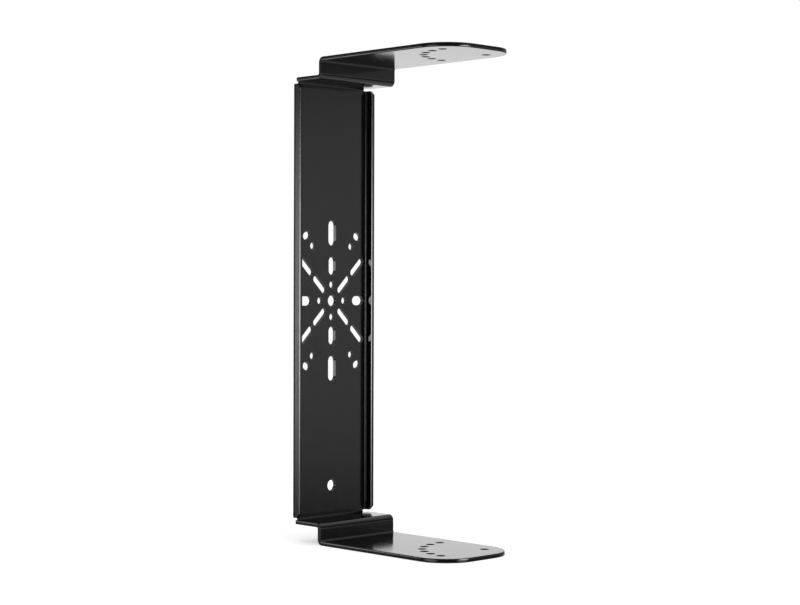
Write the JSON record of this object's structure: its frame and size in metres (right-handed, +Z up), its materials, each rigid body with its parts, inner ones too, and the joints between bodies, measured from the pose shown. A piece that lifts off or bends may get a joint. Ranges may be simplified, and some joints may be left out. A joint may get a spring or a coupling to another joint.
{
  "type": "speaker wall bracket",
  "caption": "One folded steel sheet: a drilled wall plate with side flanges, and a stepped arm above and below that holds a loudspeaker by pivot and locking holes.",
  "frame": {"origin": "middle of the plate's centre hole, on the wall face", "axes": "+Z up along the plate, +Y into the wall, +X to the right seen from the room; the arms reach forward along -Y"},
  "size_m": [0.1, 0.21, 0.468],
  "materials": {
    "powder_coat": "semi-gloss black powder coat"
  },
  "bodies": {
    "root": {"bracket": "powder_coat"}
  },
  "joints": []
}
